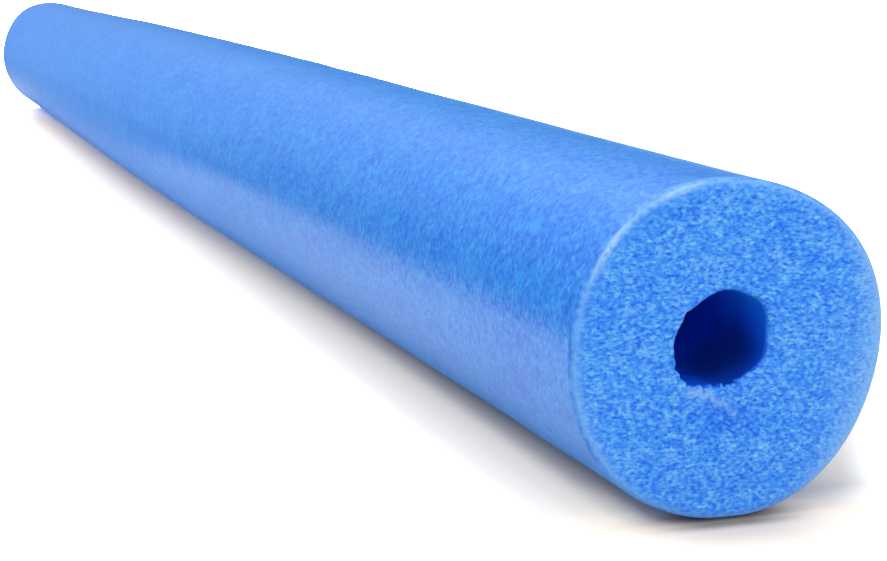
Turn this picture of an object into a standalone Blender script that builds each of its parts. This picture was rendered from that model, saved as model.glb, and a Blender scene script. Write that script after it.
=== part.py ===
"""Pool noodle: a straight tube of closed-cell polyethylene foam, extruded in one run and cut square at both ends.

The tube lies along X on the plane Z = 0, over the origin, and its near end is the one at +X. One extrusion makes
it, and its section has three layers: a dense skin that formed against the die, the cellular core, and a dense skin
that lines the bore. Each layer is one closed solid, and a thin gap keeps the layers apart.
"""

import math

import bmesh
import bpy
import numpy as np

# Driving dimensions, in metres.
LENGTH = 1.22
END_DIAMETER = 0.085
MIDDLE_SWELL = 0.0035
DRAW_IN_LENGTH = 0.56
SIDE_BOW = 0.0045
REST_FLAT_DEPTH = 0.0005
RIM_ROUNDING = 0.0028

BORE_DIAMETER = 0.0245
BORE_ASIDE = -0.0027
BORE_ABOVE = 0.0028
BORE_LIP_ROUNDING = 0.0013

OUTER_SKIN_THICKNESS = 0.0010
BORE_SKIN_THICKNESS = 0.0007
LAYER_GAP = 0.0003

# Radius of the bore at even steps round it, as shares of its nominal radius. The first lies towards +Y and the
# next towards +Z. The hole is drawn in at the upper left and slack at the lower left, seen from the near end.
BORE_OUTLINE_SHARES = (
    0.97, 1.06, 1.07, 1.05, 1.02, 0.93, 0.93, 0.95,
    1.02, 1.06, 1.10, 1.01, 0.99, 0.97, 0.98, 0.98,
)

# Counts and angles of the facets.
POINTS_AROUND = 48
DRAW_IN_SPANS = 7
ROUNDING_STEPS = 3
SHARP_EDGE = math.radians(40)


def outer_radius(x):
    """The tube is drawn in a little towards each cut end, over a squared sine of its distance from the cut."""
    drawn_part = min((LENGTH / 2 - abs(x)) / DRAW_IN_LENGTH, 1)
    swell_share = math.sin(math.pi / 2 * drawn_part) ** 2
    return (END_DIAMETER + MIDDLE_SWELL * swell_share) / 2


def side_bow(x):
    """How far the tube has bowed aside at x: a squared cosine, 0 at both ends."""
    return SIDE_BOW * math.cos(math.pi * x / LENGTH) ** 2


def places_along():
    """Places along X that have a section: even steps from each cut over its draw-in, and the tube's middle."""
    steps = np.linspace(0, DRAW_IN_LENGTH, DRAW_IN_SPANS + 1)
    half_length = LENGTH / 2
    near_half = [half_length - step for step in steps if step < half_length]
    return [-x for x in near_half] + [0.0] + near_half[::-1]


def bow_centring():
    """How far the bowed tube moves along Y, so that its two sides reach equally far from the origin."""
    bowed_side = max(outer_radius(x) + side_bow(x) for x in places_along())
    other_side = max(outer_radius(x) - side_bow(x) for x in places_along())
    return (bowed_side - other_side) / 2


def tube_centre(x):
    """Y and Z of the tube's middle at x: it bows towards -Y, and its flattened underside lies on the floor."""
    return bow_centring() - side_bow(x), outer_radius(x) - REST_FLAT_DEPTH


def outer_section(x, inset):
    """Points of the outside at x, moved in evenly by inset: a circle's arc, closed by the chord it rests on."""
    side, height = tube_centre(x)
    radius = outer_radius(x) - inset
    half_chord_angle = math.acos((height - inset) / radius)
    turn = np.linspace(half_chord_angle, math.tau - half_chord_angle, POINTS_AROUND) - math.pi / 2
    return [(x, side + radius * math.cos(a), height + radius * math.sin(a)) for a in turn]


def bore_section(x, growth):
    """Points of the hole at x, moved out evenly by growth, with its radius read between the outline's shares."""
    side, height = tube_centre(x)
    turn = (np.arange(POINTS_AROUND) + 0.5) * math.tau / POINTS_AROUND - math.pi / 2
    outline_turn = np.arange(len(BORE_OUTLINE_SHARES)) * math.tau / len(BORE_OUTLINE_SHARES)
    shares = np.interp(turn, outline_turn, BORE_OUTLINE_SHARES, period=math.tau)
    radii = shares * BORE_DIAMETER / 2 + growth
    return [
        (x, side + BORE_ASIDE + radius * math.cos(a), height + BORE_ABOVE + radius * math.sin(a))
        for radius, a in zip(radii, turn)
    ]


def rounding_arc(radius, first_depth, last_depth):
    """The part of an edge's quarter circle between two depths below the surface, as (depth, setback from the cut)."""
    first_angle = math.acos(1 - first_depth / radius)
    last_angle = math.acos(1 - last_depth / radius)
    angles = np.linspace(first_angle, last_angle, ROUNDING_STEPS + 1)
    return [(radius * (1 - math.cos(a)), radius * (1 - math.sin(a))) for a in angles]


def wall(section, depth, arc):
    """Sections of one wall of a layer from the far end to the near one, with the arc of its edge at both ends."""
    first_setback = arc[0][1]
    cut = LENGTH / 2
    straight = [x for x in places_along() if abs(x) < cut - first_setback]
    far_edge = [section(setback - cut, edge_depth) for edge_depth, setback in reversed(arc)]
    near_edge = [section(cut - setback, edge_depth) for edge_depth, setback in arc]
    return far_edge + [section(x, depth) for x in straight] + near_edge


def plain_wall(section, depth):
    """Sections of a hidden wall, which runs between the ends of the wall that it backs."""
    return [section(x, depth) for x in places_along()[1:-1]]


def layer(name, sections, colour, roughness):
    """Bridges each section to the next, and the last to the first, into one closed tube with its own finish."""
    mesh_build = bmesh.new()
    loops = [[mesh_build.verts.new(point) for point in section] for section in sections]
    for loop, next_loop in zip(loops, loops[1:] + loops[:1]):
        for i, corner in enumerate(loop):
            mesh_build.faces.new((loop[i - 1], corner, next_loop[i], next_loop[i - 1]))
    bmesh.ops.recalc_face_normals(mesh_build, faces=mesh_build.faces)

    mesh = bpy.data.meshes.new(name)
    mesh_build.to_mesh(mesh)
    mesh_build.free()
    mesh.shade_smooth()
    mesh.set_sharp_from_angle(angle=SHARP_EDGE)

    finish = bpy.data.materials.new(name)
    finish.use_nodes = True
    shader = finish.node_tree.nodes["Principled BSDF"]
    shader.inputs["Base Color"].default_value = (*colour, 1.0)
    shader.inputs["Roughness"].default_value = roughness
    shader.inputs["Metallic"].default_value = 0.0
    mesh.materials.append(finish)

    solid = bpy.data.objects.new(name, mesh)
    solid.parent = noodle
    bpy.context.collection.objects.link(solid)


for startup_object in list(bpy.data.objects):
    bpy.data.objects.remove(startup_object)

noodle = bpy.data.objects.new("pool_noodle", None)
bpy.context.collection.objects.link(noodle)

# The outer skin: a thin dense tube whose cut edge is the first part of the rounded rim.
skin_edge = rounding_arc(RIM_ROUNDING, 0, OUTER_SKIN_THICKNESS)
skin_outside = wall(outer_section, 0, skin_edge)
skin_inside = plain_wall(outer_section, OUTER_SKIN_THICKNESS)
layer("outer_skin", skin_outside + skin_inside[::-1], (0.09, 0.31, 0.88), 0.42)

# The core: the cellular foam between both skins. It finishes the rim and the bore's lip, and has the cut faces.
core_depth = OUTER_SKIN_THICKNESS + LAYER_GAP
core_growth = BORE_SKIN_THICKNESS + LAYER_GAP
core_edge = rounding_arc(RIM_ROUNDING, core_depth, RIM_ROUNDING)
core_lip = rounding_arc(BORE_LIP_ROUNDING, core_growth, BORE_LIP_ROUNDING)
core_outside = wall(outer_section, core_depth, core_edge)
core_inside = wall(bore_section, core_growth, core_lip)
layer("foam_core", core_outside + core_inside[::-1], (0.08, 0.28, 0.80), 0.80)

# The bore's skin: a thin dense lining, whose lip is the first part of the hole's rounded edge.
lining_lip = rounding_arc(BORE_LIP_ROUNDING, 0, BORE_SKIN_THICKNESS)
lining_inside = wall(bore_section, 0, lining_lip)
lining_outside = plain_wall(bore_section, BORE_SKIN_THICKNESS)
layer("bore_skin", lining_outside + lining_inside[::-1], (0.03, 0.14, 0.62), 0.55)
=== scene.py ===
import math

import bpy
import numpy as np
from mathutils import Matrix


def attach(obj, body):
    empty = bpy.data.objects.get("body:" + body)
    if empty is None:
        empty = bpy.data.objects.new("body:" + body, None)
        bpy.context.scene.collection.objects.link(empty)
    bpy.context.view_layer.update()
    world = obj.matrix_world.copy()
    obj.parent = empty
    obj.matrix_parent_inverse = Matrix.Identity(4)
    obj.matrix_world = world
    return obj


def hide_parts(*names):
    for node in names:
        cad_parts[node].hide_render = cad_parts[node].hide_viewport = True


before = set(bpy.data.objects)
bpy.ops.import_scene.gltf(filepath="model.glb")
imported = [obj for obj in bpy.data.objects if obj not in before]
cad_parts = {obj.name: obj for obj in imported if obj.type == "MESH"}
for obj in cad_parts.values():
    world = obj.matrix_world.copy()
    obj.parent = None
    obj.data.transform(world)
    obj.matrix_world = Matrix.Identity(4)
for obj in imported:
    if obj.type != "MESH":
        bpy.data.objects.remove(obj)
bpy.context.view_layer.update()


# The foam core: the body of the noodle, closed-cell polyethylene foamed in the die and left to swell as it ran out.
# A knife cut it square at both ends, so each cut face shows thousands of opened cells, drawn out a little around
# the tube. The foam sprang back at the cuts and left their edges rounded.
HALF_LENGTH = 0.61
END_RADIUS = 0.0425
MIDDLE_SWELL = 0.00175
DRAW_IN_LENGTH = 0.56
SIDE_BOW = 0.0045
BOW_CENTRING = 0.0031
REST_FLAT_DEPTH = 0.0005
REST_EDGE_SOFTNESS = 0.00015

NEAR_END_FADE = 0.168
NEAR_END_LIFT = 0.0005
NEAR_END_HEIGHTENING = 0.0002
THREE_LOBES = 0.0004
THREE_LOBES_TURN = math.radians(19)
FOUR_LOBES = 0.0005
FOUR_LOBES_TURN = math.radians(33)
FAR_END_BULGE = 0.0023
FAR_END_BULGE_TURN = math.radians(121)
FAR_END_BULGE_HALF_WIDTH = math.radians(28)
FAR_END_FADE = 0.060

# Shares of the bore's radius at even steps round it. The first lies towards +Y and the next towards +Z.
BORE_RADIUS = 0.01225
BORE_ASIDE = -0.0027
BORE_ABOVE = 0.0028
BORE_OUTLINE_SHARES = (
    1.03, 1.10, 1.13, 1.05, 1.02, 0.93, 0.92, 0.94,
    1.01, 1.05, 1.11, 0.97, 0.94, 0.95, 0.97, 1.04,
)
BORE_CORNER_SHARE = 0.05
BORE_CORNER_TURN = math.radians(141)
BORE_CORNER_HALF_WIDTH = math.radians(7)

# The torn lip's teeth are of two sizes: how many would go round the hole, the seed of their noise, and their share.
TORN_LIP = 0.0009
TORN_LIP_DEPTH = 0.002
TORN_LIP_TURN = math.radians(262)
TORN_LIP_HALF_WIDTH = math.radians(55)
TORN_LIP_TEETH = ((61, 5, 1.0), (127, 6, 0.8))
TORN_LIP_LEAN = -0.5

RIM_ROUNDING = 0.0028
LIP_ROUNDING = 0.0013
ROUNDING_STEPS = 9
SKIN_THICKNESS = 0.0010
LINING_THICKNESS = 0.0007
LIP_FOAM_DEPTH = 0.0001

CELL_WIDTH = 0.00098
CELL_HEIGHT = 0.00056
CELL_DEPTH = 0.00014
# Painted light in the cells: a gleam and glints on their walls, and painted shade in the open cells, over their own
# random tone.
CELL_TONES = 0.76
WALL_GLEAM = 0.25
OPEN_CELL_SHADE = 0.08
GLINT = 1.6
GLINT_START = 0.60
WAVE_HEIGHT = 0.00012
FACE_NOISE_SPAN = 0.05
RELIEF_START = 0.4 * RIM_ROUNDING

# The near rim's two burrs, whose pale line is a painted highlight: a turn and a half width in degrees, and a strength.
NEAR_BURRS = ((111, 9, 0.9), (139, 11, 1.0))
BURR_HEIGHT = 0.00012
BURR_WIDTH = 0.0006
BURR_FRAY_WIDTH = 0.0011

CREASE_START = (-0.0105, -0.0088)
CREASE_END = (0.0016, -0.0164)
CREASE_WIDTH = 0.0013
CREASE_HEIGHT = 0.0003
CREASE_WEAKENING = 0.45
CREASE_PALENESS = 0.8

DARK_PATCH_MIDDLE = (-0.001, -0.0165)
DARK_PATCH_REACH = (0.009, 0.0045)
DARK_PATCH_TONE = 0.30

# The rim's pale band, of smoother foam and a painted reflection of the white surroundings on the rounding, is
# wider round some turns: a turn and a reach in degrees, and the extra width.
RIM_BAND = 0.0013
RIM_BAND_WIDER = ((-12, 40, 0.0050), (205, 30, 0.0009))
FULL_RIM_BAND = 0.0030
CALM_GRAIN = 0.55
CALM_WIDTH = 0.0022
CALM_WIDER = 0.0035
CALM_WIDER_TURN = math.radians(125)
CALM_WIDER_HALF_WIDTH = math.radians(45)

CORE_AROUND = 1100
FACE_RINGS = 130
HIDDEN_RINGS = 31

# From dark to pale: the palest cells are mostly painted glints, the darkest partly painted shade in open cells.
DARK_CELL = (0.004, 0.140, 0.860, 1)
MIDDLE_CELL = (0.052, 0.330, 1.0, 1)
PALE_CELL = (0.310, 0.690, 1.0, 1)
SMOOTH_FOAM_AND_REFLECTION = (0.26, 0.56, 1.0, 1)
FOAM_BURR_HIGHLIGHT = (0.42, 0.70, 1.0, 1)


def soft_noise(down, across, rows, columns, seed):
    """Smooth random heights from -1 to 1 that repeat every turn of down and of across: random values on a grid
    of rows by columns, blended between the grid's corners by the smooth step 3t^2 - 2t^3."""
    corner = np.random.default_rng(seed).uniform(-1, 1, (rows, columns))
    row, column = down % 1 * rows, across % 1 * columns
    i, j = np.floor(row).astype(int), np.floor(column).astype(int)
    s, t = row - i, column - j
    s, t = s * s * (3 - 2 * s), t * t * (3 - 2 * t)
    i, j = i % rows, j % columns
    below, beside = (i + 1) % rows, (j + 1) % columns
    here = corner[i, j] * (1 - t) + corner[i, beside] * t
    there = corner[below, j] * (1 - t) + corner[below, beside] * t
    return here * (1 - s) + there * s


def turn_bump(turn, middle, half_width):
    """A bell curve round the tube: 1 at the middle turn, falling as exp(-(angle / half width)^2)."""
    angle = (turn - middle + math.pi) % math.tau - math.pi
    return np.exp(-((angle / half_width) ** 2))


def tube_radius(x):
    """The end radius, plus a swell that grows as a squared sine of the distance from the nearer cut."""
    drawn = np.clip((HALF_LENGTH - np.abs(x)) / DRAW_IN_LENGTH, 0, 1)
    return END_RADIUS + MIDDLE_SWELL * np.sin(math.pi / 2 * drawn) ** 2


def tube_middle(x):
    """Y and Z of the tube's middle: a squared cosine of x bows it aside, and it lies on the floor."""
    bow = SIDE_BOW * np.cos(math.pi / 2 * x / HALF_LENGTH) ** 2
    return BOW_CENTRING - bow, tube_radius(x) - REST_FLAT_DEPTH


def near_end_shape(x, turn):
    """How far the near end departs from round: a lift, a stretch upwards, three lobes and four lobes, as sines of
    the turn, which fade as a bell curve along the tube."""
    lobes = (
        NEAR_END_LIFT * np.sin(turn)
        - NEAR_END_HEIGHTENING * np.cos(2 * turn)
        + THREE_LOBES * np.cos(3 * (turn - THREE_LOBES_TURN))
        + FOUR_LOBES * np.cos(4 * (turn - FOUR_LOBES_TURN))
    )
    return lobes * np.exp(-(((HALF_LENGTH - x) / NEAR_END_FADE) ** 2))


def far_end_shape(x, turn):
    """How far the far end bulges at the upper left: a bell curve of the turn, which fades as one along the tube."""
    bulge = FAR_END_BULGE * turn_bump(turn, FAR_END_BULGE_TURN, FAR_END_BULGE_HALF_WIDTH)
    return bulge * np.exp(-(((HALF_LENGTH + x) / FAR_END_FADE) ** 2))


def outside_points(x, turn, depth):
    """Points at a depth under the tube's outside: a circle about the middle, plus both ends' shapes, with its
    underside pressed level by a soft maximum, softness * log(1 + exp(height / softness))."""
    side, height = tube_middle(x)
    radius = tube_radius(x) + near_end_shape(x, turn) + far_end_shape(x, turn) - depth
    y = side + radius * np.cos(turn)
    z = height + radius * np.sin(turn) - depth
    z = depth + REST_EDGE_SOFTNESS * np.logaddexp(0, z / REST_EDGE_SOFTNESS)
    return np.stack(np.broadcast_arrays(x, y, z), -1)


def torn_edge(x, turn):
    """How far the lip is torn: two soft noises round the hole's lower part, which fade as a bell curve inwards."""
    teeth = sum(size * soft_noise(0.3, turn / math.tau, 3, count, seed) for count, seed, size in TORN_LIP_TEETH)
    torn = TORN_LIP * (teeth + TORN_LIP_LEAN) * turn_bump(turn, TORN_LIP_TURN, TORN_LIP_HALF_WIDTH)
    return torn * np.exp(-(((HALF_LENGTH - x) / TORN_LIP_DEPTH) ** 2))


def bore_points(x, turn, growth):
    """Points of the hole, grown outwards: its outline is a smooth closed curve through the named shares of its
    radius, made from their Fourier series, with one corner at the upper left, and the near lip is torn."""
    shares = np.fft.rfft(BORE_OUTLINE_SHARES) / len(BORE_OUTLINE_SHARES)
    outline = shares[0].real + sum(
        2 * (share.real * np.cos(k * turn) - share.imag * np.sin(k * turn))
        for k, share in enumerate(shares[1:-1], 1)
    )
    side, height = tube_middle(x)
    corner = BORE_CORNER_SHARE * turn_bump(turn, BORE_CORNER_TURN, BORE_CORNER_HALF_WIDTH)
    radius = BORE_RADIUS * (outline + corner) + torn_edge(x, turn) + growth
    y = side + BORE_ASIDE + radius * np.cos(turn)
    z = height + BORE_ABOVE + radius * np.sin(turn)
    return np.stack(np.broadcast_arrays(x, y, z), -1)


def burr_share(turn):
    """Where the knife left a raised burr on the near rim, with a painted highlight along it: a bell curve for each
    burr, and no more than 1.
    """
    burrs = sum(
        strength * turn_bump(turn, math.radians(middle), math.radians(half_width))
        for middle, half_width, strength in NEAR_BURRS
    )
    return np.minimum(burrs, 1)


def crease_share(side, up):
    """How much of the near face's crease is at a place: a bell curve of the distance from the straight line
    between the crease's ends, which weakens evenly along it."""
    run_side, run_up = CREASE_END[0] - CREASE_START[0], CREASE_END[1] - CREASE_START[1]
    from_side, from_up = side - CREASE_START[0], up - CREASE_START[1]
    along = np.clip((from_side * run_side + from_up * run_up) / (run_side**2 + run_up**2), 0, 1)
    beside = np.hypot(from_side - along * run_side, from_up - along * run_up)
    return np.exp(-((beside / CREASE_WIDTH) ** 2)) * (1 - CREASE_WEAKENING * along)


def dark_patch_share(side, up):
    """How much of the near face's darker patch is at a place: a bell curve on both axes."""
    from_side = (side - DARK_PATCH_MIDDLE[0]) / DARK_PATCH_REACH[0]
    from_up = (up - DARK_PATCH_MIDDLE[1]) / DARK_PATCH_REACH[1]
    return np.exp(-(from_side**2) - from_up**2)


def foam_cells(side, up, seed):
    """Cells with jittered centres, a little wider than high. Each point gets how deep it lies in its cell, as
    1 - (distance to the centre / 0.6)^2, how near it is to a wall, as 1 - (second distance - first) / 0.4, and a
    tone: the cells' own random tones, weighed by nearness as exp(-(2 * distance)^2)."""
    column, row = side / CELL_WIDTH, up / CELL_HEIGHT
    j, i = np.floor(column).astype(int), np.floor(row).astype(int)
    jitter = np.random.default_rng(seed).uniform(0, 1, (256, 256, 3))
    nearest, second = np.full(j.shape, 9.0), np.full(j.shape, 9.0)
    tone, weights = np.zeros(j.shape), np.zeros(j.shape)
    for row_step in (-1, 0, 1):
        for column_step in (-1, 0, 1):
            own = jitter[(i + row_step) % 256, (j + column_step) % 256]
            distance = np.hypot(column - j - column_step - own[..., 0], row - i - row_step - own[..., 1])
            second = np.where(distance < nearest, nearest, np.minimum(second, distance))
            nearest = np.minimum(nearest, distance)
            weight = np.exp(-((2 * distance) ** 2))
            tone += weight * own[..., 2]
            weights += weight
    return np.clip(1 - (nearest / 0.6) ** 2, 0, 1), np.clip(1 - (second - nearest) / 0.4, 0, 1), tone / weights


def rounding(radius, first_depth, last_depth, steps):
    """A quarter circle's part between two depths: its angle, its depth and its setback from the cut. The first and
    last steps are tiny, so that the shading turns sharply at the part's two edges."""
    angle = np.linspace(math.acos(1 - first_depth / radius), math.acos(1 - last_depth / radius), steps)
    nudge = 0.01 * np.sign(angle[-1] - angle[0])
    angle = np.concatenate([angle[:1], angle[:1] + nudge, angle[1:-1], angle[-1:] - nudge, angle[-1:]])[:, None]
    return angle, radius * (1 - np.cos(angle)), radius * (1 - np.sin(angle))


def cut_end(end, turn, seed):
    """One cut face of the core, from the rim to the bore's lip: a quarter circle, rings that pass evenly from the
    tube's outline to the bore's, and a smaller quarter circle. Each point sinks by its cell's depth. The face's
    values go with it: the cells' tone with painted glints and painted shade, the smooth foam with a painted
    reflection, how strong the grain is, and the burr with a painted highlight."""
    is_near = end > 0
    rim_angle, rim_depth, rim_setback = rounding(RIM_ROUNDING, SKIN_THICKNESS, RIM_ROUNDING, ROUNDING_STEPS)
    lip_angle, lip_growth, lip_setback = rounding(LIP_ROUNDING, LIP_ROUNDING, LIP_FOAM_DEPTH, ROUNDING_STEPS)
    share = np.linspace(0, 1, FACE_RINGS + 2)[1:-1, None]
    rim_radius, lip_radius = END_RADIUS - RIM_ROUNDING, BORE_RADIUS + LIP_ROUNDING
    rim_length = RIM_ROUNDING * (math.pi / 2 - rim_angle[0, 0])
    face_width = rim_radius - lip_radius
    rim_across = RIM_ROUNDING * (rim_angle - rim_angle[0, 0])
    lip_across = rim_length + face_width + LIP_ROUNDING * (math.pi / 2 - lip_angle)
    across = np.concatenate([rim_across, rim_length + share * face_width, lip_across])
    spread = rim_radius + rim_length - across
    drift = np.clip((across - rim_length) / face_width, 0, 1)
    cell_side = spread * np.cos(turn) + drift * BORE_ASIDE
    cell_up = spread * np.sin(turn) + drift * BORE_ABOVE

    openness, wall, tone = foam_cells(cell_side, cell_up, seed)
    glint = foam_cells(cell_side + 0.1, cell_up, seed + 2)[2]
    waves = soft_noise(across / FACE_NOISE_SPAN, turn / math.tau, 7, 11, seed + 1)
    crease = is_near * crease_share(cell_side, cell_up)
    relief = WAVE_HEIGHT * waves + CREASE_HEIGHT * crease - CELL_DEPTH * openness * (0.4 + 0.6 * tone)
    relief = relief * np.clip(across / RELIEF_START, 0, 1)
    relief = relief + is_near * BURR_HEIGHT * burr_share(turn) * np.exp(-((across / BURR_WIDTH) ** 2))

    lifts = np.split(relief, [len(rim_angle), len(rim_angle) + FACE_RINGS])
    rim_x = HALF_LENGTH - rim_setback + lifts[0] * np.sin(rim_angle)
    lip_x = HALF_LENGTH - lip_setback + lifts[2] * np.sin(lip_angle)
    rim = outside_points(end * rim_x, turn, rim_depth - lifts[0] * np.cos(rim_angle))
    lip = bore_points(end * lip_x, turn, lip_growth - lifts[2] * np.cos(lip_angle))
    cut_x = np.full((1, 1), end * HALF_LENGTH)
    rim_edge = outside_points(cut_x, turn, np.full((1, 1), RIM_ROUNDING))
    lip_edge = bore_points(cut_x, turn, np.full((1, 1), LIP_ROUNDING))
    face = rim_edge + (lip_edge - rim_edge) * share[..., None]
    face[..., 0] = end * (HALF_LENGTH + lifts[1])

    # Painted glints and gleam on the cell walls, and painted shade in the open cells, added to the cells' random tone.
    foam_tone_and_painted_light = CELL_TONES * (tone - 0.5) + WALL_GLEAM * wall * glint - OPEN_CELL_SHADE * openness
    foam_tone_and_painted_light = foam_tone_and_painted_light + GLINT * np.clip(glint * wall - GLINT_START, 0, 1)
    foam_tone_and_painted_light = foam_tone_and_painted_light - is_near * DARK_PATCH_TONE * dark_patch_share(cell_side, cell_up)
    calm_width = CALM_WIDTH + CALM_WIDER * turn_bump(turn, CALM_WIDER_TURN, CALM_WIDER_HALF_WIDTH)
    grain = CALM_GRAIN + (1 - CALM_GRAIN) * np.clip(across / calm_width, 0, 1)
    band = RIM_BAND + sum(
        width * turn_bump(turn, math.radians(middle), math.radians(reach)) for middle, reach, width in RIM_BAND_WIDER
    )
    smooth_foam_and_reflection = np.exp(-across / band) * np.clip(band / FULL_RIM_BAND, 0.55, 1.0)
    fray = 0.7 + 0.5 * soft_noise(across / FACE_NOISE_SPAN, turn / math.tau, 90, 330, seed + 3)
    # The burr's pale line is a painted highlight.
    burr = is_near * burr_share(turn) * np.clip(1.3 - across / BURR_FRAY_WIDTH, 0, 1) * fray
    values = {
        "foam_tone_and_painted_light": foam_tone_and_painted_light * grain,
        "rim": np.maximum(smooth_foam_and_reflection, CREASE_PALENESS * crease),
        "grain": grain,
        "burr": burr,
    }
    return np.concatenate([rim, face, lip]), values


def ring_mesh(name, points, **point_values):
    """A closed skin of quads over a grid that wraps both ways: each row is a ring round the tube, and the last row
    joins the first. Extra arrays of the grid's shape become the mesh's named attributes."""
    index = np.arange(points.shape[0] * points.shape[1]).reshape(points.shape[:2])
    beside = np.roll(index, -1, 1)
    quads = np.stack([index, beside, np.roll(beside, -1, 0), np.roll(index, -1, 0)], -1).reshape(-1, 4)
    mesh = bpy.data.meshes.new(name)
    mesh.vertices.add(index.size)
    mesh.vertices.foreach_set("co", points.astype(np.float32).ravel())
    mesh.loops.add(quads.size)
    mesh.loops.foreach_set("vertex_index", quads.astype(np.int32).ravel())
    mesh.polygons.add(len(quads))
    mesh.polygons.foreach_set("loop_start", np.arange(0, quads.size, 4, dtype=np.int32))
    mesh.update(calc_edges=True)
    mesh.shade_smooth()
    for value_name, values in point_values.items():
        attribute = mesh.attributes.new(value_name, "FLOAT", "POINT")
        attribute.data.foreach_set("value", np.broadcast_to(values, index.shape).astype(np.float32).ravel())
    piece = bpy.data.objects.new(name, mesh)
    bpy.context.collection.objects.link(piece)
    return piece


def add_node(tree, kind, inputs, **settings):
    """Adds a node to a material, with its settings, and feeds each input a number or another node's output."""
    node = tree.nodes.new(kind)
    for name, value in settings.items():
        setattr(node, name, value)
    for key, value in inputs.items():
        if isinstance(value, bpy.types.NodeSocket):
            tree.links.new(value, node.inputs[key])
        else:
            node.inputs[key].default_value = value
    return node


def new_finish(name):
    """A new material, its node tree, its shader, and the place on the piece that its patterns read."""
    finish = bpy.data.materials.new(name)
    finish.use_nodes = True
    tree = finish.node_tree
    place = add_node(tree, "ShaderNodeTexCoord", {}).outputs["Object"]
    return finish, tree, tree.nodes["Principled BSDF"], place


def reckon(tree, operation, *values):
    """One sum of a Math node, such as ADD or MULTIPLY_ADD, over its values."""
    return add_node(tree, "ShaderNodeMath", dict(enumerate(values)), operation=operation).outputs[0]


def product(tree, first, *others):
    """Multiplies values one after another."""
    for other in others:
        first = reckon(tree, "MULTIPLY", first, other)
    return first


def blend(tree, factor, first, second):
    """Blends two numbers by a factor."""
    return add_node(tree, "ShaderNodeMix", {0: factor, 2: first, 3: second}).outputs[0]


def colour_mix(tree, factor, first, second):
    """Blends two colours by a factor."""
    mix = add_node(tree, "ShaderNodeMix", {0: factor, 6: first, 7: second}, data_type="RGBA")
    return mix.outputs[2]


def ramp(tree, value, low, high, to_low=0.0, to_high=1.0, interpolation="LINEAR"):
    """Carries a value evenly from one range to another, and holds it at the range's ends."""
    inputs = {"Value": value, "From Min": low, "From Max": high, "To Min": to_low, "To Max": to_high}
    return add_node(tree, "ShaderNodeMapRange", inputs, interpolation_type=interpolation).outputs[0]


def between(tree, value, low, high, to_low, to_high):
    """Carries a value from one range to another, with smooth ends."""
    return ramp(tree, value, low, high, to_low, to_high, "SMOOTHSTEP")


def noise(tree, place, scale, detail):
    """Smooth noise over the piece, with its own scale on each axis."""
    scaled = add_node(tree, "ShaderNodeMapping", {"Vector": place, "Scale": scale}).outputs[0]
    return add_node(tree, "ShaderNodeTexNoise", {"Vector": scaled, "Scale": 1.0, "Detail": detail}).outputs["Fac"]


def attribute_value(tree, name):
    """A value that the mesh carries at its points."""
    return add_node(tree, "ShaderNodeAttribute", {}, attribute_name=name).outputs["Fac"]


turn = np.linspace(0, math.tau, CORE_AROUND, endpoint=False)[None, :]
hidden_x = np.linspace(-1, 1, HIDDEN_RINGS)[:, None] * (HALF_LENGTH - 2 * RIM_ROUNDING)
near_face, near_values = cut_end(1, turn, 11)
far_face, far_values = cut_end(-1, turn, 12)
hidden_outside = outside_points(hidden_x, turn, np.full_like(hidden_x, SKIN_THICKNESS))
hidden_inside = bore_points(hidden_x[::-1], turn, np.full_like(hidden_x, LINING_THICKNESS))
hidden = np.zeros((HIDDEN_RINGS, CORE_AROUND))
core = ring_mesh(
    "cut_foam_core",
    np.concatenate([hidden_outside, near_face, hidden_inside, far_face[::-1]]),
    **{name: np.concatenate([hidden, near, hidden, far_values[name][::-1]]) for name, near in near_values.items()},
)

foam, tree, shader, place = new_finish("cut_polyethylene_foam")
blotches = between(tree, noise(tree, place, (220.0, 220.0, 220.0), 1.0), 0.3, 0.7, -0.05, 0.05)
specks = noise(tree, place, (1000.0, 820.0, 1600.0), 0.5)
speck_tone = ramp(tree, specks, 0.0, 1.0, -0.50, 0.50)
tone = reckon(tree, "ADD", attribute_value(tree, "foam_tone_and_painted_light"), blotches)
tone = reckon(tree, "MULTIPLY_ADD", speck_tone, attribute_value(tree, "grain"), tone)
foam_colour = colour_mix(tree, ramp(tree, tone, -0.45, 0.05), DARK_CELL, MIDDLE_CELL)
foam_colour = colour_mix(tree, ramp(tree, tone, 0.05, 0.80), foam_colour, PALE_CELL)
# Painted reflection: the rim's band is paler, partly smoother foam and partly the white surroundings mirrored on the
# rounding.
rim_share = product(tree, reckon(tree, "ADD", specks, 0.50), attribute_value(tree, "rim"))
foam_colour = colour_mix(tree, between(tree, rim_share, 0.0, 1.0, 0.0, 0.85), foam_colour, SMOOTH_FOAM_AND_REFLECTION)
# Painted highlight along the near rim's burr.
foam_colour = colour_mix(tree, attribute_value(tree, "burr"), foam_colour, FOAM_BURR_HIGHLIGHT)
tree.links.new(foam_colour, shader.inputs["Base Color"])
shader.inputs["Roughness"].default_value = 0.60
shader.inputs["Specular IOR Level"].default_value = 0.25
shader.inputs["Sheen Weight"].default_value = 0.10
core.data.materials.append(foam)

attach(core, "root")
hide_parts("foam_core")


# The outer skin: a millimetre of denser foam that set against the die, satin and slightly pebbled by the cells
# under it. It is one with the core, and its cut edge shows as a thin pale line round each end, made paler on the
# rounding by a painted reflection of the white surroundings, with a painted highlight along the near rim's burr.
SKIN_AROUND = 320
SKIN_STEP = 0.001
EDGE_STEPS = 8
SKIN_NOISE_SPAN = 1.3
PEBBLE_FADE = 0.003
CUT_PALENESS = 0.20
CUT_PALE_REACH = 0.0030

# Pebbles of three sizes: their height, and how many there are along and round.
PEBBLES = ((0.00010, 40, 9, 21), (0.00003, 400, 68, 22), (0.00002, 900, 130, 23))

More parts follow.
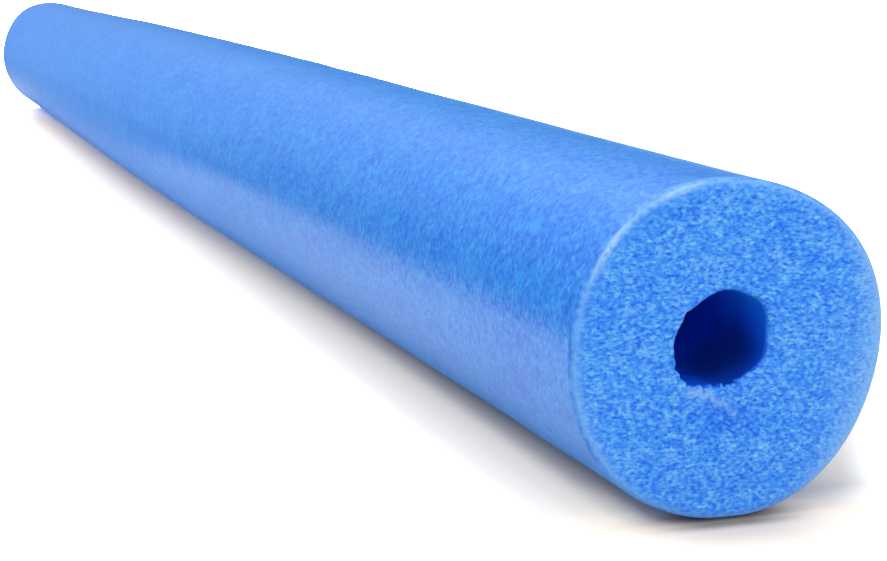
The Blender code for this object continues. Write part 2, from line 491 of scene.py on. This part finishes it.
DARK_SKIN = (0.002, 0.130, 0.830, 1)
PALE_SKIN = (0.046, 0.345, 1.0, 1)
SKIN_GLINT = (0.16, 0.48, 1.0, 1)
SKIN_CUT_EDGE_AND_REFLECTION = (0.17, 0.47, 1.0, 1)
SKIN_BURR_HIGHLIGHT = (0.46, 0.74, 1.0, 1)
SKIN_SHEEN = (0.06, 0.42, 1.0, 1)
GREEN_ALONG = (-0.60, 0.50, 0.76, 1.03)

turn = (np.arange(SKIN_AROUND)[None, :] + 0.5) / SKIN_AROUND * math.tau
edge_angle, edge_depth, edge_setback = rounding(RIM_ROUNDING, 0, SKIN_THICKNESS, EDGE_STEPS)
flank = HALF_LENGTH - RIM_ROUNDING
skin_x = np.linspace(-flank, flank, int(2 * flank / SKIN_STEP))[1:-1, None]
from_rim = flank - np.abs(skin_x)
pebbles = sum(
    height * soft_noise(skin_x / SKIN_NOISE_SPAN, turn / math.tau, rows, columns, seed)
    for height, rows, columns, seed in PEBBLES
)
edge_part = edge_depth / SKIN_THICKNESS
near_edge = outside_points(HALF_LENGTH - edge_setback + BURR_HEIGHT * burr_share(turn) * edge_part, turn, edge_depth)
far_edge = outside_points(edge_setback - HALF_LENGTH, turn, edge_depth)
skin_outside = outside_points(skin_x, turn, -pebbles * np.clip(from_rim / PEBBLE_FADE, 0, 1))
skin_inside = outside_points(hidden_x[::-1], turn, np.full_like(hidden_x, SKIN_THICKNESS))

hidden = np.zeros((HIDDEN_RINGS, SKIN_AROUND))
unmarked = np.zeros((len(skin_x), SKIN_AROUND))
# The cut edge is pale foam, and a painted reflection makes it paler over the rounding and a little onto the flank.
edge_pale = CUT_PALENESS + 0.75 * edge_part + np.zeros_like(turn)
skin_pale = CUT_PALENESS * np.exp(-((from_rim / CUT_PALE_REACH) ** 2)) + unmarked
burr_fray = 0.75 + 0.45 * soft_noise(edge_part * 0.9, turn / math.tau, 4, 160, 24)
# Painted highlight along the burr on the skin's near edge.
near_burr_highlight = burr_share(turn) * np.clip(edge_part * 2 - 0.8, 0, 1) * burr_fray
skin = ring_mesh(
    "noodle_skin",
    np.concatenate([far_edge[::-1], skin_outside, near_edge, skin_inside]),
    cut_edge=np.concatenate([edge_pale[::-1], skin_pale, edge_pale, hidden]),
    burr=np.concatenate([np.zeros_like(edge_pale), unmarked, near_burr_highlight, hidden]),
)

skin_finish, tree, shader, place = new_finish("satin_foam_skin")
grain = noise(tree, place, (720.0, 640.0, 640.0), 1.0)
blotches = noise(tree, place, (210.0, 280.0, 280.0), 1.0)
clouds = noise(tree, place, (45.0, 75.0, 75.0), 1.0)
specks = noise(tree, place, (420.0, 420.0, 420.0), 1.0)
tone = reckon(tree, "MULTIPLY_ADD", blotches, 0.5, grain)
tone = ramp(tree, reckon(tree, "MULTIPLY_ADD", clouds, 0.3, tone), 0.65, 1.15)
skin_colour = colour_mix(tree, tone, DARK_SKIN, PALE_SKIN)
# Painted shade: the skin is painted less green towards the far end, against the sheen it shows there, and a little
# greener at the near end.
place_along = add_node(tree, "ShaderNodeSeparateXYZ", {0: place}).outputs[0]
green = add_node(tree, "ShaderNodeCombineXYZ", {0: 1.0, 1: between(tree, place_along, *GREEN_ALONG), 2: 1.0})
skin_colour = add_node(tree, "ShaderNodeVectorMath", {0: skin_colour, 1: green.outputs[0]}, operation="MULTIPLY")
# Painted glints: small pale specks on the satin skin.
skin_colour = colour_mix(tree, between(tree, specks, 0.60, 0.76, 0.0, 0.45), skin_colour.outputs[0], SKIN_GLINT)
# Painted reflection on the rounded cut edge, over its pale foam.
cut_edge = product(tree, attribute_value(tree, "cut_edge"), between(tree, tone, 0.0, 1.0, 0.75, 1.25))
skin_colour = colour_mix(tree, between(tree, cut_edge, 0.0, 1.0, 0.0, 0.85), skin_colour, SKIN_CUT_EDGE_AND_REFLECTION)
# Painted highlight along the near rim's burr.
skin_colour = colour_mix(tree, attribute_value(tree, "burr"), skin_colour, SKIN_BURR_HIGHLIGHT)
tree.links.new(skin_colour, shader.inputs["Base Color"])
pebble_normal = add_node(tree, "ShaderNodeBump", {"Height": tone, "Strength": 0.32, "Distance": 0.0002}).outputs[0]
tree.links.new(pebble_normal, shader.inputs["Normal"])
shader.inputs["Roughness"].default_value = 0.23
shader.inputs["Specular IOR Level"].default_value = 0.34
shader.inputs["Sheen Weight"].default_value = 0.72
shader.inputs["Sheen Roughness"].default_value = 0.40
shader.inputs["Sheen Tint"].default_value = SKIN_SHEEN
skin.data.materials.append(skin_finish)

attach(skin, "root")
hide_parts("outer_skin")


# The bore's lining: the same dense skin, formed round the pin in the middle of the die. The pin leaves the hole a
# little off centre and uneven, and the lining goes from one cut to the other.
LINING_AROUND = 256
LIP_RINGS = 4
FINE_STEP = 0.0012
FINE_RINGS = 99
MIDDLE_RINGS = 58
RIPPLE_HEIGHT = 0.00025
RIPPLE_FADE = 0.003

# Painted light and shade: the lining is painted brighter where light would come through the foam, at the upper right
# near a cut, and painted darkest lower down, where shade falls.
GLOW_TURN = math.radians(60)
GLOW_HALF_WIDTH = math.radians(50)
GLOW_REACH = 0.055
GLOW_FADE = 0.04
SHADE_TURN = math.radians(-45)
SHADE_HALF_WIDTH = math.radians(62)
SHADE_DEPTH = 0.017

DARK_LINING = (0.003, 0.115, 0.900, 1)
PALE_LINING = (0.004, 0.165, 1.0, 1)
PAINTED_GLOW_LINING = (0.010, 0.30, 1.0, 1)
PAINTED_SHADE_LINING = (0.002, 0.046, 0.300, 1)

turn = (np.arange(LINING_AROUND)[None, :] + 0.5) / LINING_AROUND * math.tau
lip_growth = np.linspace(0, LINING_THICKNESS, LIP_RINGS)[:, None]
lip_setback = np.full_like(lip_growth, LIP_ROUNDING)
bore_end = HALF_LENGTH - LIP_ROUNDING
near_stretch = bore_end - FINE_STEP * np.arange(1, FINE_RINGS + 1)[:, None]
middle_stretch = np.linspace(-near_stretch[-1, 0], near_stretch[-1, 0], MIDDLE_RINGS + 2)[1:-1, None]
bore_x = np.concatenate([-near_stretch, middle_stretch, near_stretch[::-1]])
ripples = RIPPLE_HEIGHT * soft_noise(bore_x / SKIN_NOISE_SPAN, turn / math.tau, 200, 12, 31)
ripples = ripples * np.clip((bore_end - np.abs(bore_x)) / RIPPLE_FADE, 0, 1)
bore_depth = HALF_LENGTH - np.abs(bore_x)
thin = turn_bump(turn, GLOW_TURN, GLOW_HALF_WIDTH) * np.clip((GLOW_REACH - bore_depth) / GLOW_FADE, 0, 1)
thick = turn_bump(turn, SHADE_TURN, SHADE_HALF_WIDTH) * np.exp(-(((bore_depth - SHADE_DEPTH) / SHADE_DEPTH) ** 2))
hidden = np.zeros((HIDDEN_RINGS, LINING_AROUND))
lip_thin, lip_thick = np.repeat(thin[:1], LIP_RINGS, 0), np.zeros((LIP_RINGS, LINING_AROUND))
lining = ring_mesh(
    "bore_lining",
    np.concatenate([
        bore_points(hidden_x, turn, np.full_like(hidden_x, LINING_THICKNESS)),
        bore_points(HALF_LENGTH - lip_setback[::-1], turn, lip_growth[::-1]),
        bore_points(bore_x[::-1], turn, ripples[::-1]),
        bore_points(lip_setback - HALF_LENGTH, turn, lip_growth),
    ]),
    thin=np.concatenate([hidden, lip_thin, thin[::-1], lip_thin]),
    thick=np.concatenate([hidden, lip_thick, thick[::-1], lip_thick]),
)

lining_finish, tree, shader, place = new_finish("bore_foam_skin")
blotches = noise(tree, place, (400.0, 400.0, 400.0), 3.0)
thin_share = between(tree, attribute_value(tree, "thin"), 0.0, 1.0, 0.0, 1.0)
thick_share = between(tree, attribute_value(tree, "thick"), 0.0, 1.0, 0.0, 1.0)
lining_colour = colour_mix(tree, blotches, DARK_LINING, PALE_LINING)
# Painted glow near the cut at the upper right, and painted shade lower down.
lining_colour = colour_mix(tree, thin_share, lining_colour, PAINTED_GLOW_LINING)
lining_colour = colour_mix(tree, thick_share, lining_colour, PAINTED_SHADE_LINING)
tree.links.new(lining_colour, shader.inputs["Base Color"])
shader.inputs["Roughness"].default_value = 0.55
shader.inputs["Specular IOR Level"].default_value = 0.2
lining.data.materials.append(lining_finish)

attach(lining, "root")
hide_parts("bore_skin")


# The floor: a white sheet that runs far past the noodle on all sides and takes its shadow. Its whiteness is painted
# from place to place, with painted shade and light that shape that shadow and what the noodle mirrors.
FLOOR_REACH = 30.0
FLOOR_BELOW = 0.0002

# Painted shade and light in what the noodle mirrors and in the light that the floor sends back: how white the
# noodle mirrors it, and how white the light is that it sends back, as two places and the value at each.
MIRRORED_ALONG = (-0.24, 0.02, 0.28, 0.72)
MIRRORED_NEAR_END = (0.10, 0.38, 0.0, 0.28)
MIRRORED_ASIDE = (-0.31, -0.12, 0.05, 1.0)
MIRRORED_BEYOND = (0.05, 0.30, 0.0, 1.0)
MIRRORED_FAR_OFF = (-1.4, -0.6, 0.34, 0.0)
MIRRORED_BESIDE = (-0.085, -0.036, 0.0, 0.90)
MIRRORED_BESIDE_NEAR_END = (0.18, 0.36, 1.0, 0.9)
SENT_BACK_ALONG = (0.05, 0.45, 0.80, 0.57)

# Its colour as the camera sees it, first by the distance from the noodle's middle line, then at single places: a
# painted shadow, with painted light and shade that deepen, lift and tint the noodle's cast shadow.
PAST_END_START = 0.60
PAST_END_STRETCH = 1.6
NEAR_SHADE = (
    (0.012, (1.16, 1.08, 0.84, 1)),
    (0.016, (1.50, 1.28, 0.90, 1)),
    (0.023, (2.05, 1.75, 1.20, 1)),
    (0.031, (1.58, 1.41, 1.09, 1)),
    (0.037, (1.36, 1.25, 1.05, 1)),
    (0.060, (1.60, 1.59, 1.57, 1)),
)
FAR_SHADE = (
    (0.015, (2.85, 2.43, 1.62, 1)),
    (0.024, (2.20, 1.78, 1.08, 1)),
    (0.034, (1.90, 1.64, 1.14, 1)),
    (0.042, (1.62, 1.51, 1.24, 1)),
    (0.060, (1.60, 1.59, 1.57, 1)),
)
FAR_TO_NEAR = (0.10, 0.52, 0.0, 1.0)
BESIDE_RIM_PAINTED_LIGHT = (2.15, 1.80, 1.18, 1)
BESIDE_RIM_STARTS = (0.012, 0.018, 0.0, 1.0)
BESIDE_RIM_ENDS = (0.019, 0.027, 1.0, 0.0)
BESIDE_RIM_ALONG = (0.562, 0.588, 0.0, 1.0)
CLOSE_IN_FRONT_PAINTED_SHADOW = (1.38, 1.22, 1.01, 1)
FURTHER_IN_FRONT = (1.60, 1.57, 1.50, 1)
IN_FRONT_ALONG = (0.598, 0.614, 0.0, 1.0)
FURTHER_ALONG = (0.634, 0.690, 0.0, 1.0)
FAR_PART_PAINTED_LIGHT = (3.45, 3.1, 2.45, 1)
FAR_PART_ALONG = (-0.61, -0.48, 1.0, 0.0)
FAR_RIM_PAINTED_LIGHT = (7.0, 6.2, 4.0, 1)
FAR_RIM_ALONG = (-0.606, -0.578, 1.0, 0.0)

RIGHT_SHADE = (0.80, 0.765, 0.675, 1)
RIGHT_SHADE_STARTS = (0.005, 0.035, 0.0, 1.0)
RIGHT_SHADE_ENDS = (0.040, 0.062, 1.0, 0.0)
RIGHT_SHADE_ALONG = (0.590, 0.606, 1.0, 0.0)
RIGHT_SHADE_SLANT = 0.58
RIGHT_SHADE_SLANT_START = 0.53
RIGHT_SHADE_SHIFT = -0.346

UNDER_RIM_ALONG = (0.6115, 0.6175, 0.33, 1.0)
BEFORE_RIM_ALONG = (0.614, 0.640, 0.72, 1.0)
FACE_MIDDLE = 0.003
UNDER_FACE_ASIDE = (0.004, 0.028, 1.0, 0.0)
UNDER_FACE_ALONG = (0.598, 0.606, 0.0, 1.0)


def colour_by_distance(tree, distance, stops):
    """Blends from each stop's colour to the next, smoothly over the distance between them."""
    (start, colour), *later_stops = stops
    for stop, next_colour in later_stops:
        colour = colour_mix(tree, between(tree, distance, start, stop, 0.0, 1.0), colour, next_colour)
        start = stop
    return colour


floor_corners = np.array([(-1, -1), (1, -1), (1, 1), (-1, 1)]) * FLOOR_REACH
floor_mesh = bpy.data.meshes.new("floor")
floor_mesh.from_pydata([(x, y, -FLOOR_BELOW) for x, y in floor_corners], [], [(0, 1, 2, 3)])
floor = bpy.data.objects.new("floor", floor_mesh)
bpy.context.collection.objects.link(floor)

floor_white, tree, shader, place = new_finish("white_floor")
ray = add_node(tree, "ShaderNodeLightPath", {}).outputs
floor_place = add_node(tree, "ShaderNodeSeparateXYZ", {0: place}).outputs
along, aside = floor_place[0], floor_place[1]

# Painted reflection: in what the noodle mirrors, the floor is painted darker far off and along the far part, and
# whiter beside the noodle.
mirrored = reckon(tree, "ADD", between(tree, along, *MIRRORED_ALONG), between(tree, along, *MIRRORED_NEAR_END))
mirrored = product(tree, mirrored, between(tree, aside, *MIRRORED_ASIDE))
mirrored_beside = product(
    tree, between(tree, aside, *MIRRORED_BESIDE), between(tree, along, *MIRRORED_BESIDE_NEAR_END)
)
mirrored = reckon(tree, "MAXIMUM", mirrored, between(tree, aside, *MIRRORED_BEYOND))
mirrored = reckon(tree, "MAXIMUM", mirrored, between(tree, along, *MIRRORED_FAR_OFF))
mirrored = reckon(tree, "MAXIMUM", mirrored, mirrored_beside)
is_mirrored = reckon(tree, "ADD", ray["Is Glossy Ray"], ray["Is Transmission Ray"])
# Painted light: in the light it sends back, the floor is whiter towards the far end.
unseen_white = blend(tree, is_mirrored, between(tree, along, *SENT_BACK_ALONG), mirrored)

from_centre = reckon(tree, "ABSOLUTE", along)
past_end = reckon(tree, "MAXIMUM", reckon(tree, "ADD", from_centre, -PAST_END_START), 0.0)
past_end = product(tree, past_end, PAST_END_STRETCH)
from_noodle = add_node(tree, "ShaderNodeCombineXYZ", {0: past_end, 1: aside}).outputs[0]
from_noodle = add_node(tree, "ShaderNodeVectorMath", {0: from_noodle}, operation="LENGTH").outputs["Value"]
# Painted shadow: by the distance from the noodle, the floor's whiteness is made to deepen, lift and tint the cast
# shadow.
near_white = colour_by_distance(tree, from_noodle, NEAR_SHADE)
far_white = colour_by_distance(tree, from_noodle, FAR_SHADE)
seen_white = colour_mix(tree, between(tree, along, *FAR_TO_NEAR), far_white, near_white)

# Painted light beside the near rim, which lifts the shadow there.
beside_rim = product(
    tree,
    between(tree, from_noodle, *BESIDE_RIM_STARTS),
    between(tree, from_noodle, *BESIDE_RIM_ENDS),
    between(tree, along, *BESIDE_RIM_ALONG),
)
seen_white = colour_mix(tree, beside_rim, seen_white, BESIDE_RIM_PAINTED_LIGHT)
# Painted shadow in front of the near face.
front_white = colour_mix(tree, between(tree, from_centre, *FURTHER_ALONG), CLOSE_IN_FRONT_PAINTED_SHADOW, FURTHER_IN_FRONT)
seen_white = colour_mix(tree, between(tree, from_centre, *IN_FRONT_ALONG), seen_white, front_white)
# Painted light at the far end, which fades the shadow out.
seen_white = colour_mix(tree, between(tree, along, *FAR_PART_ALONG), seen_white, FAR_PART_PAINTED_LIGHT)
seen_white = colour_mix(tree, between(tree, along, *FAR_RIM_ALONG), seen_white, FAR_RIM_PAINTED_LIGHT)

slant = reckon(tree, "MAXIMUM", along, RIGHT_SHADE_SLANT_START)
slant = reckon(tree, "MULTIPLY_ADD", slant, RIGHT_SHADE_SLANT, RIGHT_SHADE_SHIFT)
right_shade = product(
    tree,
    between(tree, aside, *RIGHT_SHADE_STARTS),
    between(tree, reckon(tree, "ADD", slant, aside), *RIGHT_SHADE_ENDS),
    between(tree, from_centre, *RIGHT_SHADE_ALONG),
)
seen_white = colour_mix(tree, right_shade, seen_white, RIGHT_SHADE)

face_shade = product(tree, between(tree, along, *UNDER_RIM_ALONG), between(tree, along, *BEFORE_RIM_ALONG))
from_face_middle = reckon(tree, "ABSOLUTE", reckon(tree, "ADD", aside, -FACE_MIDDLE))
face_shade = blend(tree, between(tree, from_face_middle, *UNDER_FACE_ASIDE), 1.0, face_shade)
face_shade = blend(tree, between(tree, along, *UNDER_FACE_ALONG), 1.0, face_shade)
seen_white = add_node(tree, "ShaderNodeVectorMath", {0: seen_white, "Scale": face_shade}, operation="SCALE").outputs[0]
floor_colour = colour_mix(tree, ray["Is Camera Ray"], unseen_white, seen_white)
tree.links.new(floor_colour, shader.inputs["Base Color"])
shader.inputs["Roughness"].default_value = 1.0
shader.inputs["Specular IOR Level"].default_value = 0.0
floor.data.materials.append(floor_white)


# The light: a white sky, brightest overhead and behind the camera, and dark along the horizon beyond the far end.
# A soft light is a direction, a strength, and how narrow it is: it falls as exp(narrowness * (cosine - 1)).
SOFT_LIGHTS = (
    ((0.0, -0.71, 0.71), 1.10, 5.25),
    ((0.0, 0.97, 0.26), 0.30, 5.25),
    ((0.95, 0.26, 0.17), 1.98, 5.25),
    ((0.89, -0.42, 0.17), 0.30, 5.25),
    ((-0.64, 0.0, 0.77), 1.60, 5.25),
    ((-0.15, 0.05, 0.99), 1.90, 8.0),
)
FAR_HORIZON = 0.46
FAR_HORIZON_ASIDE = (0.05, 0.28, FAR_HORIZON, 0.35 * FAR_HORIZON)
FAR_ALONG = (-0.95, -0.70, 1.0, 0.0)
FAR_UPWARDS = (0.08, 0.62, 1.0, 0.0)
DARK_SPOT_UPWARDS = (0.06, 0.20, 1.0, 0.0)
DARK_SPOT_ASIDE = (-0.38, -0.22, 1.0, 0.0)

world = bpy.data.worlds.new("studio")
bpy.context.scene.world = world
world.use_nodes = True
tree = world.node_tree
backing = tree.nodes["Background"]
backing.inputs["Color"].default_value = (1, 1, 1, 1)
direction = add_node(tree, "ShaderNodeTexCoord", {}).outputs["Generated"]
ray_side = add_node(tree, "ShaderNodeSeparateXYZ", {0: direction}).outputs
open_sky = 0.0
for light_direction, strength, narrowness in SOFT_LIGHTS:
    towards = add_node(tree, "ShaderNodeVectorMath", {0: direction, 1: light_direction}, operation="DOT_PRODUCT")
    fall = reckon(tree, "MULTIPLY_ADD", towards.outputs["Value"], narrowness, -narrowness)
    open_sky = reckon(tree, "MULTIPLY_ADD", reckon(tree, "EXPONENT", fall), strength, open_sky)
dark_spot = product(tree, between(tree, ray_side[2], *DARK_SPOT_UPWARDS), between(tree, ray_side[1], *DARK_SPOT_ASIDE))
far_horizon = blend(tree, dark_spot, between(tree, ray_side[1], *FAR_HORIZON_ASIDE), 0.0)
far_share = product(tree, between(tree, ray_side[0], *FAR_ALONG), between(tree, ray_side[2], *FAR_UPWARDS))
tree.links.new(blend(tree, far_share, open_sky, far_horizon), backing.inputs["Strength"])


# The camera: at the photograph's place and angle, low and near the cut end, looking along the noodle.
DOWNWARD_TILT = math.radians(10.148)
HEADING = math.radians(161.332)

camera_data = bpy.data.cameras.new("camera")
camera_data.lens = 78.96
camera_data.clip_end = 200.0
camera = bpy.data.objects.new("camera", camera_data)
camera.location = (1.0233, -0.2101, 0.1420)
camera.rotation_euler = (math.pi / 2 - DOWNWARD_TILT, 0, HEADING - math.pi / 2)
bpy.context.collection.objects.link(camera)
bpy.context.scene.camera = camera
bpy.context.scene.view_settings.view_transform = "Standard"
